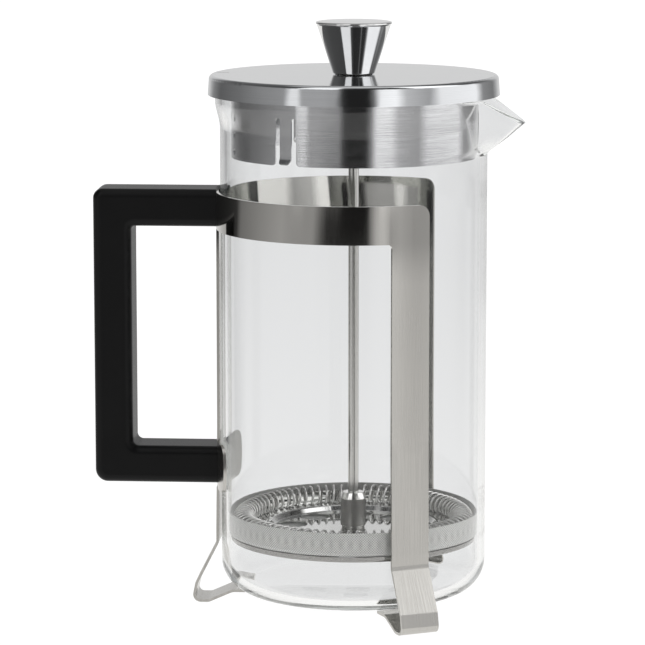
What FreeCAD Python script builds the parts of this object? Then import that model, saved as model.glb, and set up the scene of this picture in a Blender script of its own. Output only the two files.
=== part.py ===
import math
import os

import FreeCAD
import Part

# All lengths in millimetres. Origin: beaker axis on the table.
# +X points to the spout, -X to the handle, +Z up.

# ---- beaker ----
BEAKER_R = 50.0
BEAKER_WALL = 2.4
BEAKER_BOTTOM_Z = 5.3
BEAKER_FLOOR = 3.2
BEAKER_CORNER_R = 12.0
BEAKER_RIM_Z = 198.9
FLARE_START_Z = 181.0
FLARE_END_Z = 191.5
FLARE_GROWTH = 1.8

# ---- pouring spout ----
SPOUT_START_Z = 171.4
SPOUT_SLOPE = 1.38
SPOUT_EASE = 0.6
SPOUT_MAX_REACH = 24.0
SPOUT_HALF_ANGLE = 50.0
SPOUT_TIP_ROUND = 0.045
SPOUT_FLANK = 0.19
SPOUT_SINK = 0.4
LIP_START_X = 35.8
LIP_SHELF_X = 42.0
LIP_SHELF_Z = 193.0
LIP_EDGE_X = 49.4
LIP_CUT_SLOPE = 0.61

# ---- stainless frame, sheet metal ----
SHEET = 1.0
HOOP_R_IN = 50.6
HOOP_R_OUT = HOOP_R_IN + SHEET
HOOP_BOTTOM_Z = 143.2
HOOP_TOP_Z = 157.2
LEG_HALF_WIDTH = 7.45
FRONT_LEG_ANGLE = 62.7
REAR_LEG_ANGLE = 180.0
LEG_CURVED_Z = 70.0
LEG_FLAT_Z = 28.0
HOOP_CORNER_R = 4.2
HOOP_NOTCH_R = 1.5
FOOT_BEND_Z = 23.3
FOOT_KNEE = (59.2, 7.4)
FOOT_TOE = (60.6, SHEET / 2)
FOOT_PAD_END = (54.6, SHEET / 2)
FOOT_RISE_END = (45.6, 4.5)
FOOT_TAB_END = (38.5, 4.5)
FOOT_BEND_RADII = (4.0, 3.0, 2.4, 3.0, 5.0)

# ---- rear leg, welded on under the hoop, with a wide saddle at the lower arm ----
SADDLE_HALF_WIDTH = 19.3
SADDLE_BULGE = 1.1
SADDLE_BOTTOM_Z = 44.5
SADDLE_TOP_Z = 62.5
SADDLE_CORNER_R = 4.0

# ---- handle ----
HANDLE_BOTTOM_Z = 46.4
HANDLE_TOP_Z = 158.1
ARM_THICKNESS = 14.0
GRIP_INNER_R = 83.0
GRIP_OUTER_R = 97.4
HANDLE_WIDTH = 20.0
HANDLE_TOP_CORNER_R = 3.6
HANDLE_BOTTOM_CORNER_R = 4.8
HANDLE_INNER_TOP_R = 1.5
HANDLE_INNER_BOTTOM_R = 2.3
HANDLE_EDGE_R = 3.0

# ---- handle fixings ----
SCREW_HEAD_R = 3.5
SCREW_NECK_R = 2.0
SCREW_HOLE_R = 2.15
SCREW_HEAD_H = 1.4
SCREW_LENGTH = 11.0
SCREW_DRIVE_R = 1.1
SCREW_DRIVE_DEPTH = 0.9
INSERT_R = 3.2
INSERT_LENGTH = 8.5
INSERT_INSET = 0.6
ARM_FACE_R = HOOP_R_OUT + 0.02

# ---- lid ----
CAP_TOP_Z = 200.9
CAP_SHEET = 0.8
CAP_RIM_Z = 193.5
CAP_R_TOP = 54.0
CAP_R_RIM = 54.5
CAP_EDGE_R = 1.2
DISH_R = 7.4
DISH_DEPTH = 1.2
BUSH_HOLE_R = 5.2
MARK_LENGTH = 4.6
MARK_WIDTH = 0.6
MARK_DEPTH = 0.25
MARK_R = 49.5
MARK_ANGLE = 176.0

# ---- strainer skirt under the lid ----
SKIRT_R_OUT = 45.8
SKIRT_SHEET = 0.6
SKIRT_BOTTOM_Z = 170.6
SKIRT_FLANGE_R = 52.3
SKIRT_FLANGE_Z = CAP_TOP_Z - CAP_SHEET
TONGUE_ANGLES = (-119.0, 1.0, 121.0)
TONGUE_HALF_WIDTH = 2.4
SLOT_WIDTH = 2.0
SLOT_TOP_Z = 188.1
SLOT_MOUTH_R = 1.5
TONGUE_TIP_OUT = 1.3
TONGUE_TIP_Z = 171.2
HOLE_R = 1.3
HOLE_ROWS_Z = (173.6, 179.8, 186.0)
HOLE_ANGLES = (158.0, 169.0, 180.0, 191.0, 202.0)

# ---- guide bush in the lid ----
ROD_R = 2.0
BUSH_BORE_R = 2.05
BUSH_R = 5.12
BUSH_HEAD_R = 6.3
BUSH_HEAD_Z = 200.8
BUSH_HEAD_H = 0.8
BUSH_BOTTOM_Z = 189.0
RING_TOP_Z = 198.5
RING_H = 1.2
RING_R = 7.4
RING_GROOVE_R = 4.5

# ---- plunger ----
KNOB_BASE_Z = 201.2
KNOB_TOP_Z = 220.8
KNOB_BASE_R = 7.8
KNOB_TOP_R = 14.2
KNOB_LIP = 1.1
KNOB_DOME = 0.4
ROD_BOTTOM_Z = 32.0
ROD_TOP_Z = 213.0
HUB_R = 4.75
HUB_BOTTOM_Z = 28.5
HUB_TOP_Z = 42.3
HUB_CHAMFER_R = 0.75
HUB_CHAMFER_Z = 2.4
STUD_R = 2.5
STUD_BOTTOM_Z = 22.6

# ---- filter stack ----
PLATE_SHEET = 0.6
PLATE_HOLES = 9
PLATE_HOLE_R = 6.0
PLATE_HOLE_PITCH_R = 24.0
PLATE_FIRST_HOLE = 51.0
PLATE_RIM_R = 42.0
PLATE_RIM_TOP_Z = 34.2
COIL_TURNS = 84
COIL_RING_R = 42.0
COIL_R = 3.85
COIL_WIRE_R = 0.42
COIL_Z = 32.1
COIL_STEPS = 8
COIL_WIRE_SIDES = 6
COIL_SLOT_R = 39.5
COIL_SLOT_LENGTH = 3.0
COIL_SLOT_WIDTH = 1.5
COIL_SLOT_PHASE = 0.635
MESH_R = 47.0
MESH_SHEET = 0.35
MESH_FLOOR_Z = 27.15
MESH_TOP_Z = 36.2
MESH_CORNER_R = 1.6
MESH_HOLE_R = 4.0
EYELET_R_IN = 3.0
EYELET_FLANGE_R = 5.6
EYELET_FLANGE_H = 0.25
CROSS_R = 46.4
CROSS_BOTTOM_Z = 25.0
CROSS_RIM_Z = 27.1
CROSS_OUTER_HOLES = 12
CROSS_OUTER_HOLE_R = 5.0
CROSS_OUTER_PITCH_R = 35.0
CROSS_INNER_HOLES = 6
CROSS_INNER_HOLE_R = 5.0
CROSS_INNER_PITCH_R = 18.0
BOSS_FLAT = 9.0
BOSS_H = 3.4

Z_AXIS = FreeCAD.Vector(0, 0, 1)
ORIGIN = FreeCAD.Vector(0, 0, 0)


def vec(x, y, z):
    return FreeCAD.Vector(x, y, z)


def turned(shape, angle):
    copy = shape.copy()
    copy.rotate(ORIGIN, Z_AXIS, angle)
    return copy


def wire_of(points):
    return Part.makePolygon(points + [points[0]])


def revolved(pairs):
    face = Part.Face(wire_of([vec(r, 0, z) for r, z in pairs]))
    return face.revolve(ORIGIN, Z_AXIS, 360)


def revolved_face(face, angle=360):
    return face.revolve(ORIGIN, Z_AXIS, angle)


def disc(radius, z0, z1):
    return Part.makeCylinder(radius, z1 - z0, vec(0, 0, z0))


def tube(r_in, r_out, z0, z1):
    return disc(r_out, z0, z1).cut(disc(r_in, z0 - 1, z1 + 1))


def ring_of_holes(count, pitch_r, radius, z0, z1, first=0.0):
    tools = []
    for i in range(count):
        a = math.radians(first + i * 360.0 / count)
        place = vec(pitch_r * math.cos(a), pitch_r * math.sin(a), z0)
        tools.append(Part.makeCylinder(radius, z1 - z0, place))
    return tools


def rounded_path(corners, radii):
    """Polyline corners with an arc at every inner corner: list of (kind, points)."""
    pieces = []
    start = corners[0]
    for i in range(1, len(corners) - 1):
        before = (corners[i - 1][0] - corners[i][0], corners[i - 1][1] - corners[i][1])
        after = (corners[i + 1][0] - corners[i][0], corners[i + 1][1] - corners[i][1])
        len_b = math.hypot(*before)
        len_a = math.hypot(*after)
        ub = (before[0] / len_b, before[1] / len_b)
        ua = (after[0] / len_a, after[1] / len_a)
        inner = math.acos(max(-1.0, min(1.0, ub[0] * ua[0] + ub[1] * ua[1])))
        cut = radii[i - 1] / math.tan(inner / 2)
        p0 = (corners[i][0] + ub[0] * cut, corners[i][1] + ub[1] * cut)
        p1 = (corners[i][0] + ua[0] * cut, corners[i][1] + ua[1] * cut)
        mid = (ub[0] + ua[0], ub[1] + ua[1])
        len_m = math.hypot(*mid)
        reach = radii[i - 1] / math.sin(inner / 2)
        centre = (corners[i][0] + mid[0] / len_m * reach, corners[i][1] + mid[1] / len_m * reach)
        top = (centre[0] - mid[0] / len_m * radii[i - 1], centre[1] - mid[1] / len_m * radii[i - 1])
        pieces.append(("line", start, p0))
        pieces.append(("arc", p0, top, p1, centre))
        start = p1
    pieces.append(("line", start, corners[-1]))
    return pieces


def shifted(piece, offset):
    """The same path piece moved sideways by offset (to the left of its direction)."""
    if piece[0] == "line":
        dx = piece[2][0] - piece[1][0]
        dz = piece[2][1] - piece[1][1]
        size = math.hypot(dx, dz)
        nx = -dz / size * offset
        nz = dx / size * offset
        return [(p[0] + nx, p[1] + nz) for p in piece[1:3]]
    p0, top, p1, centre = piece[1:5]
    radius = math.hypot(p0[0] - centre[0], p0[1] - centre[1])
    turn = (top[0] - p0[0]) * (p1[1] - top[1]) - (top[1] - p0[1]) * (p1[0] - top[0])
    grown = radius - offset if turn > 0 else radius + offset
    scale = grown / radius
    moved = []
    for p in (p0, top, p1):
        moved.append((centre[0] + (p[0] - centre[0]) * scale, centre[1] + (p[1] - centre[1]) * scale))
    return moved


def sheet_face(corners, radii, thickness):
    """Face in the XZ plane of a bent sheet seen edge on."""
    path = rounded_path(corners, radii)
    edges = []
    ends = []
    for side in (1, -1):
        for piece in path:
            pts = [vec(x, 0, z) for x, z in shifted(piece, side * thickness / 2)]
            if len(pts) == 2:
                edges.append(Part.makeLine(pts[0], pts[1]))
            else:
                edges.append(Part.Arc(pts[0], pts[1], pts[2]).toShape())
        first = vec(*[shifted(path[0], side * thickness / 2)[0][k] if k < 2 else 0 for k in (0, 2, 1)])
        last = vec(*[shifted(path[-1], side * thickness / 2)[-1][k] if k < 2 else 0 for k in (0, 2, 1)])
        ends.append((first, last))
    edges.append(Part.makeLine(ends[0][0], ends[1][0]))
    edges.append(Part.makeLine(ends[0][1], ends[1][1]))
    return Part.Face(Part.Wire(Part.__sortEdges__(edges)))


def bulk_outline(corners, radii):
    """Closed face in the XZ plane from corner points with one radius each (0 = sharp)."""
    count = len(corners)
    edges = []
    joints = []
    for i in range(count):
        prev_c = corners[i - 1]
        this_c = corners[i]
        next_c = corners[(i + 1) % count]
        if radii[i] <= 0:
            joints.append((this_c, this_c, None))
            continue
        piece = rounded_path([prev_c, this_c, next_c], [radii[i]])
        joints.append((piece[1][1], piece[1][3], piece[1][2]))
    for i in range(count):
        p0, p1, top = joints[i]
        if top is not None:
            edges.append(Part.Arc(vec(p0[0], 0, p0[1]), vec(top[0], 0, top[1]), vec(p1[0], 0, p1[1])).toShape())
        n0 = joints[(i + 1) % count][0]
        edges.append(Part.makeLine(vec(p1[0], 0, p1[1]), vec(n0[0], 0, n0[1])))
    return Part.Face(Part.Wire(edges))


# ------------------------------------------------------------------ beaker


def beaker_profile(inset, bottom_z, top_z, corner_r):
    r = BEAKER_R - inset
    r_top = r + FLARE_GROWTH
    edges = [Part.makeLine(vec(0, 0, bottom_z), vec(r - corner_r, 0, bottom_z))]
    c = math.sqrt(0.5) * corner_r
    edges.append(Part.Arc(vec(r - corner_r, 0, bottom_z),
                          vec(r - corner_r + c, 0, bottom_z + corner_r - c),
                          vec(r, 0, bottom_z + corner_r)).toShape())
    edges.append(Part.makeLine(vec(r, 0, bottom_z + corner_r), vec(r, 0, FLARE_START_Z)))
    bend = Part.BezierCurve()
    mid_z = (FLARE_START_Z + FLARE_END_Z) / 2
    bend.setPoles([vec(r, 0, FLARE_START_Z), vec(r, 0, mid_z), vec(r_top, 0, mid_z),
                   vec(r_top, 0, FLARE_END_Z)])
    edges.append(bend.toShape())
    edges.append(Part.makeLine(vec(r_top, 0, FLARE_END_Z), vec(r_top, 0, top_z)))
    edges.append(Part.makeLine(vec(r_top, 0, top_z), vec(0, 0, top_z)))
    edges.append(Part.makeLine(vec(0, 0, top_z), vec(0, 0, bottom_z)))
    return revolved_face(Part.Face(Part.Wire(edges)))


def flare(z):
    t = min(1.0, max(0.0, (z - FLARE_START_Z) / (FLARE_END_Z - FLARE_START_Z)))
    return FLARE_GROWTH * t * t * (3 - 2 * t)


def spout_reach(z):
    rise = z - SPOUT_START_Z
    reach = SPOUT_SLOPE * (math.hypot(rise, SPOUT_EASE) - SPOUT_EASE)
    return SPOUT_MAX_REACH * math.tanh(reach / SPOUT_MAX_REACH * 0.9) / 0.9 if reach > 0 else 0.0


def spout_wire(z, inset):
    points = []
    steps = 48
    for i in range(steps + 1):
        a = math.radians(-SPOUT_HALF_ANGLE + 2 * SPOUT_HALF_ANGLE * i / steps)
        bump = math.exp(-(math.hypot(a, SPOUT_TIP_ROUND) - SPOUT_TIP_ROUND) / SPOUT_FLANK)
        r = BEAKER_R + flare(z) - inset - SPOUT_SINK + spout_reach(z) * bump
        points.append(vec(r * math.cos(a), r * math.sin(a), z))
    curve = Part.BSplineCurve()
    curve.interpolate(points)
    back = 25.0
    corner_a = vec(back, points[-1].y, z)
    corner_b = vec(back, points[0].y, z)
    return Part.Wire([curve.toShape(), Part.makeLine(points[-1], corner_a),
                      Part.makeLine(corner_a, corner_b), Part.makeLine(corner_b, points[0])])


def spout_body(inset, top_z):
    levels = []
    z = SPOUT_START_Z
    while z < top_z - 0.5:
        levels.append(z)
        z += 1.9
    levels.append(top_z)
    return Part.makeLoft([spout_wire(z, inset) for z in levels], True, False)


def make_beaker():
    outer = beaker_profile(0, BEAKER_BOTTOM_Z, BEAKER_RIM_Z, BEAKER_CORNER_R)
    outer = outer.fuse(spout_body(0, BEAKER_RIM_Z))
    inner = beaker_profile(BEAKER_WALL, BEAKER_BOTTOM_Z + BEAKER_FLOOR, BEAKER_RIM_Z + 2,
                           BEAKER_CORNER_R - BEAKER_WALL)
    inner = inner.fuse(spout_body(BEAKER_WALL, BEAKER_RIM_Z + 2))
    body = outer.cut(inner)
    far_x = 90.0
    lip = Part.Face(wire_of([vec(LIP_START_X, -60, BEAKER_RIM_Z),
                             vec(LIP_SHELF_X, -60, LIP_SHELF_Z),
                             vec(LIP_EDGE_X, -60, LIP_SHELF_Z),
                             vec(far_x, -60, LIP_SHELF_Z - LIP_CUT_SLOPE * (far_x - LIP_EDGE_X)),
                             vec(far_x, -60, BEAKER_RIM_Z + 5),
                             vec(LIP_START_X, -60, BEAKER_RIM_Z + 5)]))
    return body.cut(lip.extrude(vec(0, 120, 0)))


# ------------------------------------------------------------------- frame


def foot():
    """Kicked-out foot of a leg standing at +X, flat sheet."""
    mid = HOOP_R_IN + SHEET / 2
    corners = [(mid, LEG_FLAT_Z), (mid, FOOT_BEND_Z), FOOT_KNEE, FOOT_TOE, FOOT_PAD_END,
               FOOT_RISE_END, FOOT_TAB_END]
    face = sheet_face(corners, FOOT_BEND_RADII, SHEET)
    face.translate(vec(0, -LEG_HALF_WIDTH, 0))
    return face.extrude(vec(0, 2 * LEG_HALF_WIDTH, 0))


def strip_wire(r_in, r_out, half, z, flat=False):
    def arc(r, sign):
        ends = [vec(math.sqrt(r * r - half * half), s * half, z) for s in (-sign, sign)]
        return Part.Arc(ends[0], vec(r, 0, z), ends[1]).toShape()
    if flat:
        return wire_of([vec(r_out, -half, z), vec(r_out, half, z), vec(r_in, half, z), vec(r_in, -half, z)])
    outer = arc(r_out, 1)
    inner = arc(r_in, -1)
    o = outer.Vertexes
    i = inner.Vertexes
    return Part.Wire([outer, Part.makeLine(o[1].Point, i[0].Point), inner,
                      Part.makeLine(i[1].Point, o[0].Point)])


def leg_transition():
    return Part.makeLoft([strip_wire(HOOP_R_IN, HOOP_R_OUT, LEG_HALF_WIDTH, LEG_FLAT_Z, True),
                          strip_wire(HOOP_R_IN, HOOP_R_OUT, LEG_HALF_WIDTH, LEG_CURVED_Z)], True, True)


def wrapped(face, r_in, r_out):
    """A flat outline in the YZ plane cut out of a tube of sheet at +X."""
    box = face.BoundBox
    prism = face.copy()
    prism.translate(vec(r_in - 12, 0, 0))
    return prism.extrude(vec(24, 0, 0)).common(tube(r_in, r_out, box.ZMin - 1, box.ZMax + 1))


def yz_face(corners, radii):
    face = bulk_outline(corners, radii)
    face.rotate(ORIGIN, Z_AXIS, 90)
    return face


def make_hoop():
    w = LEG_HALF_WIDTH
    reach = 5.0
    leg = yz_face([(-w, LEG_CURVED_Z), (w, LEG_CURVED_Z), (w, HOOP_BOTTOM_Z), (w + reach, HOOP_BOTTOM_Z),
                   (w + reach, HOOP_TOP_Z), (-w, HOOP_TOP_Z)],
                  [0, 0, HOOP_NOTCH_R, 0, 0, HOOP_CORNER_R])
    strap = wrapped(leg, HOOP_R_IN, HOOP_R_OUT)
    strap = strap.fuse([leg_transition(), foot()])
    left = turned(strap, FRONT_LEG_ANGLE)
    right = left.mirror(ORIGIN, vec(0, 1, 0))
    start = FRONT_LEG_ANGLE + math.degrees(math.asin((w + reach - 1.5) / HOOP_R_OUT))
    band = Part.Face(wire_of([vec(HOOP_R_IN, 0, HOOP_BOTTOM_Z), vec(HOOP_R_OUT, 0, HOOP_BOTTOM_Z),
                              vec(HOOP_R_OUT, 0, HOOP_TOP_Z), vec(HOOP_R_IN, 0, HOOP_TOP_Z)]))
    band = turned(revolved_face(band, 360 - 2 * start), start)
    body = band.fuse([left, right]).removeSplitter()
    return body.cut(screw_hole(SCREW_Z[0], HOOP_R_IN)).removeSplitter()


def make_rear_leg():
    w = LEG_HALF_WIDTH
    strap = wrapped(yz_face([(-w, LEG_CURVED_Z), (w, LEG_CURVED_Z), (w, HOOP_BOTTOM_Z), (-w, HOOP_BOTTOM_Z)],
                            [0, 0, 0, 0]), HOOP_R_IN, HOOP_R_OUT)
    s = SADDLE_HALF_WIDTH
    b = s + SADDLE_BULGE
    mid = (SADDLE_BOTTOM_Z + SADDLE_TOP_Z) / 2
    saddle = wrapped(yz_face([(-s, SADDLE_BOTTOM_Z), (s, SADDLE_BOTTOM_Z), (b, mid), (s, SADDLE_TOP_Z),
                              (-s, SADDLE_TOP_Z), (-b, mid)],
                             [SADDLE_CORNER_R, SADDLE_CORNER_R, 20.0, SADDLE_CORNER_R, SADDLE_CORNER_R, 20.0]),
                     HOOP_R_IN, HOOP_R_OUT)
    slit = tube(HOOP_R_IN - 5, HOOP_R_OUT + 5, SADDLE_BOTTOM_Z, SADDLE_TOP_Z)
    body = leg_transition().cut(slit).fuse([strap, foot(), saddle])
    body = turned(body, REAR_LEG_ANGLE).removeSplitter()
    return body.cut(screw_hole(SCREW_Z[1], HOOP_R_IN))


# ---------------------------------------------------------- handle and fixings

SCREW_Z = (HANDLE_TOP_Z - ARM_THICKNESS / 2 - 1.6, HANDLE_BOTTOM_Z + ARM_THICKNESS / 2)


def along_x(shape, x, z):
    """A shape drawn on +Z laid along -X with its foot at x."""
    laid = shape.copy()
    laid.rotate(ORIGIN, vec(0, 1, 0), -90)
    laid.translate(vec(x, 0, z))
    return laid


def screw_hole(z, r_face):
    cone = Part.makeCone(SCREW_HEAD_R + 0.1, SCREW_HOLE_R, SCREW_HEAD_H)
    shank = Part.makeCylinder(SCREW_HOLE_R, 12)
    return along_x(cone.fuse([shank, Part.makeCylinder(SCREW_HEAD_R + 0.1, 3, vec(0, 0, -3))]), -r_face, z)


def make_screw(z):
    cone = Part.makeCone(SCREW_HEAD_R, SCREW_NECK_R, SCREW_HEAD_H - 0.05)
    shank = Part.makeCylinder(SCREW_NECK_R, SCREW_LENGTH)
    drive = Part.makeCylinder(SCREW_DRIVE_R, SCREW_DRIVE_DEPTH)
    return along_x(cone.fuse(shank).removeSplitter().cut(drive), -HOOP_R_IN, z)


def make_insert(index):
    x = -(ARM_FACE_R + INSERT_INSET)
    body = Part.makeCylinder(INSERT_R, INSERT_LENGTH).cut(Part.makeCylinder(SCREW_NECK_R, INSERT_LENGTH))
    return along_x(body, x, SCREW_Z[index])


def make_handle():
    start = -44.0
    low = HANDLE_BOTTOM_Z
    high = HANDLE_TOP_Z
    arm = ARM_THICKNESS
    face = bulk_outline([(start, low), (-GRIP_OUTER_R, low), (-GRIP_OUTER_R, high), (start, high),
                         (start, high - arm), (-GRIP_INNER_R, high - arm), (-GRIP_INNER_R, low + arm),
                         (start, low + arm)],
                        [0, HANDLE_BOTTOM_CORNER_R, HANDLE_TOP_CORNER_R, 0, 0, HANDLE_INNER_TOP_R,
                         HANDLE_INNER_BOTTOM_R, 0])
    face.translate(vec(0, -HANDLE_WIDTH / 2, 0))
    body = face.extrude(vec(0, HANDLE_WIDTH, 0))
    edges = []
    for edge in body.Edges:
        box = edge.BoundBox
        on_side = box.YLength < 0.001 and abs(abs(box.YMax) - HANDLE_WIDTH / 2) < 0.001
        if on_side and not (box.XLength < 0.001 and abs(box.XMax - start) < 0.001):
            edges.append(edge)
    body = body.makeFillet(HANDLE_EDGE_R, edges)
    body = body.cut(disc(ARM_FACE_R, low - 5, high + 5))
    x = -(ARM_FACE_R + INSERT_INSET)
    for index in (0, 1):
        pocket = along_x(Part.makeCylinder(INSERT_R, INSERT_LENGTH), x, SCREW_Z[index])
        bore = along_x(Part.makeCylinder(SCREW_HOLE_R, SCREW_LENGTH + 4), -HOOP_R_IN + 2, SCREW_Z[index])
        body = body.cut(pocket.fuse([bore, screw_hole(SCREW_Z[index], HOOP_R_IN)]))
    return body


# --------------------------------------------------------------------- lid


def make_cap():
    t = CAP_SHEET
    top = CAP_TOP_Z
    corners = [(BUSH_HOLE_R, top - DISH_DEPTH - t / 2), (DISH_R - 0.6, top - DISH_DEPTH - t / 2),
               (DISH_R + 0.2, top - t / 2), (CAP_R_TOP - t / 2, top - t / 2), (CAP_R_RIM - t / 2, CAP_RIM_Z)]
    face = sheet_face(corners, (0.5, 0.5, CAP_EDGE_R), t)
    body = revolved_face(face)
    mark = Part.makeBox(MARK_LENGTH, MARK_WIDTH, 2, vec(MARK_R - MARK_LENGTH / 2, -MARK_WIDTH / 2, top - MARK_DEPTH))
    return body.cut(turned(mark, MARK_ANGLE))


def make_skirt():
    t = SKIRT_SHEET
    mid = SKIRT_R_OUT - t / 2
    flange = SKIRT_FLANGE_Z - t / 2
    body = revolved_face(sheet_face([(mid, SKIRT_BOTTOM_Z), (mid, flange), (SKIRT_FLANGE_R, flange)],
                                    (1.6,), t))
    tools = []
    for angle in TONGUE_ANGLES:
        for side in (-1, 1):
            near = side * TONGUE_HALF_WIDTH
            far = side * (TONGUE_HALF_WIDTH + SLOT_WIDTH)
            low = SKIRT_BOTTOM_Z
            slot = yz_face([(near, low - 2), (far + side * 3, low - 2), (far + side * 3, low), (far, low),
                            (far, SLOT_TOP_Z), (near, SLOT_TOP_Z)],
                           [0, 0, 0, SLOT_MOUTH_R, SLOT_WIDTH / 2 - 0.01, SLOT_WIDTH / 2 - 0.01])
            slot.translate(vec(SKIRT_R_OUT - 4, 0, 0))
            tools.append(turned(slot.extrude(vec(8, 0, 0)), angle))
        tip = Part.makeBox(8, 2 * TONGUE_HALF_WIDTH + 2 * SLOT_WIDTH, 5.2,
                           vec(SKIRT_R_OUT - 4, -TONGUE_HALF_WIDTH - SLOT_WIDTH, SKIRT_BOTTOM_Z - 2))
        tools.append(turned(tip, angle))
    for angle in HOLE_ANGLES:
        for z in HOLE_ROWS_Z:
            hole = Part.makeCylinder(HOLE_R, 8, vec(SKIRT_R_OUT - 4, 0, z), vec(1, 0, 0))
            tools.append(turned(hole, angle))
    body = body.cut(tools)
    for angle in TONGUE_ANGLES:
        body = body.fuse(turned(tongue_tip(), angle))
    return body


def tongue_tip():
    """Rounded, outward bent end of a spring tongue at +X."""
    t = SKIRT_SHEET
    mid = SKIRT_R_OUT - t / 2
    z0 = SKIRT_BOTTOM_Z + 3.2
    face = sheet_face([(mid, z0), (mid, z0 - 0.9), (mid + TONGUE_TIP_OUT, TONGUE_TIP_Z)], (2.0,), t)
    w = TONGUE_HALF_WIDTH
    face.translate(vec(0, -w, 0))
    strip = face.extrude(vec(0, 2 * w, 0))
    outline = yz_face([(-w, z0), (w, z0), (w, TONGUE_TIP_Z - 0.6), (-w, TONGUE_TIP_Z - 0.6)],
                      [0, 0, w - 0.05, w - 0.05])
    outline.translate(vec(SKIRT_R_OUT - 6, 0, 0))
    return strip.common(outline.extrude(vec(12, 0, 0)))


def make_bush():
    body = disc(BUSH_R, BUSH_BOTTOM_Z, BUSH_HEAD_Z)
    body = body.fuse(disc(BUSH_HEAD_R, BUSH_HEAD_Z - BUSH_HEAD_H, BUSH_HEAD_Z)).removeSplitter()
    body = body.cut(disc(BUSH_BORE_R, BUSH_BOTTOM_Z - 1, BUSH_HEAD_Z + 1))
    return body.cut(tube(RING_GROOVE_R, RING_R + 2, RING_TOP_Z - RING_H, RING_TOP_Z))


def make_ring():
    return tube(RING_GROOVE_R, RING_R, RING_TOP_Z - RING_H, RING_TOP_Z)


# ----------------------------------------------------------------- plunger


def make_knob():
    dome_r = KNOB_TOP_R - 0.5
    sphere_r = (dome_r ** 2 + KNOB_DOME ** 2) / (2 * KNOB_DOME)
    half = math.asin(dome_r / sphere_r) / 2
    edge = Part.Arc(vec(dome_r, 0, KNOB_TOP_Z - KNOB_DOME),
                    vec(sphere_r * math.sin(half), 0, KNOB_TOP_Z - sphere_r * (1 - math.cos(half))),
                    vec(0, 0, KNOB_TOP_Z)).toShape()
    neck_z = KNOB_TOP_Z - KNOB_DOME - KNOB_LIP
    points = [vec(0, 0, KNOB_BASE_Z), vec(KNOB_BASE_R - 0.5, 0, KNOB_BASE_Z),
              vec(KNOB_BASE_R, 0, KNOB_BASE_Z + 0.5), vec(KNOB_TOP_R - 0.5, 0, neck_z),
              vec(KNOB_TOP_R, 0, neck_z + 0.4), vec(KNOB_TOP_R, 0, KNOB_TOP_Z - KNOB_DOME - 0.5),
              vec(KNOB_TOP_R - 0.5, 0, KNOB_TOP_Z - KNOB_DOME)]
    edges = [Part.makeLine(points[i], points[i + 1]) for i in range(len(points) - 1)]
    edges.append(edge)
    edges.append(Part.makeLine(vec(0, 0, KNOB_TOP_Z), points[0]))
    body = revolved_face(Part.Face(Part.Wire(edges)))
    return body.cut(disc(ROD_R, KNOB_BASE_Z - 1, ROD_TOP_Z))


def make_hub():
    body = revolved([(0, STUD_BOTTOM_Z), (STUD_R, STUD_BOTTOM_Z), (STUD_R, HUB_BOTTOM_Z), (HUB_R, HUB_BOTTOM_Z),
                     (HUB_R, HUB_TOP_Z - HUB_CHAMFER_Z), (HUB_R - HUB_CHAMFER_R, HUB_TOP_Z), (0, HUB_TOP_Z)])
    return body.cut(disc(ROD_R, ROD_BOTTOM_Z, HUB_TOP_Z + 1))


def make_spring_plate():
    h = PLATE_SHEET / 2
    low = HUB_BOTTOM_Z - h
    shelf = 29.2
    corners = [(STUD_R + 0.05, low), (30.6, low), (32.2, 30.0), (33.8, 30.0), (35.2, shelf),
               (PLATE_RIM_R, shelf), (PLATE_RIM_R, PLATE_RIM_TOP_Z)]
    body = revolved_face(sheet_face(corners, (0.7, 0.7, 0.7, 0.7, 0.9), PLATE_SHEET))
    tools = ring_of_holes(PLATE_HOLES, PLATE_HOLE_PITCH_R, PLATE_HOLE_R, 24, 34, PLATE_FIRST_HOLE)
    for i in range(COIL_TURNS):
        slot = Part.makeBox(COIL_SLOT_LENGTH, COIL_SLOT_WIDTH, 2.2,
                            vec(COIL_SLOT_R - COIL_SLOT_LENGTH / 2, -COIL_SLOT_WIDTH / 2, 28))
        tools.append(turned(slot, (i + COIL_SLOT_PHASE) * 360.0 / COIL_TURNS))
    return body.cut(tools)


def coil_centre(around):
    wind = around * COIL_TURNS
    r = COIL_RING_R + COIL_R * math.cos(wind)
    return vec(r * math.cos(around), r * math.sin(around), COIL_Z + COIL_R * math.sin(wind))


def coil_section(around):
    """Corners of the wire's cross-section where the coil has come to the given angle."""
    centre = coil_centre(around)
    tangent = (coil_centre(around + 1e-4) - centre).normalize()
    out = centre - vec(COIL_RING_R * math.cos(around), COIL_RING_R * math.sin(around), COIL_Z)
    out = (out - tangent * out.dot(tangent)).normalize()
    side = tangent.cross(out)
    corners = []
    for k in range(COIL_WIRE_SIDES):
        a = 2 * math.pi * k / COIL_WIRE_SIDES
        corners.append(centre + out * (COIL_WIRE_R * math.cos(a)) + side * (COIL_WIRE_R * math.sin(a)))
    return corners


def make_coil():
    """Wire wound round a ring, open by one step where its two ends meet."""
    count = COIL_TURNS * COIL_STEPS
    rows = [coil_section(2 * math.pi * i / count) for i in range(count)]
    faces = [Part.Face(wire_of(rows[0])), Part.Face(wire_of(rows[-1]))]
    for before, after in zip(rows, rows[1:]):
        for k in range(COIL_WIRE_SIDES):
            m = (k + 1) % COIL_WIRE_SIDES
            faces.append(Part.makeRuledSurface(Part.makeLine(before[k], before[m]),
                                               Part.makeLine(after[k], after[m])))
    shell = Part.makeShell(faces)
    shell.sewShape()
    body = Part.Solid(shell)
    return body if body.Volume > 0 else body.reversed()


def make_mesh():
    t = MESH_SHEET
    face = sheet_face([(MESH_HOLE_R, MESH_FLOOR_Z + t / 2), (MESH_R - t / 2, MESH_FLOOR_Z + t / 2),
                       (MESH_R - t / 2, MESH_TOP_Z)], (MESH_CORNER_R,), t)
    return revolved_face(face)


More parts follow.
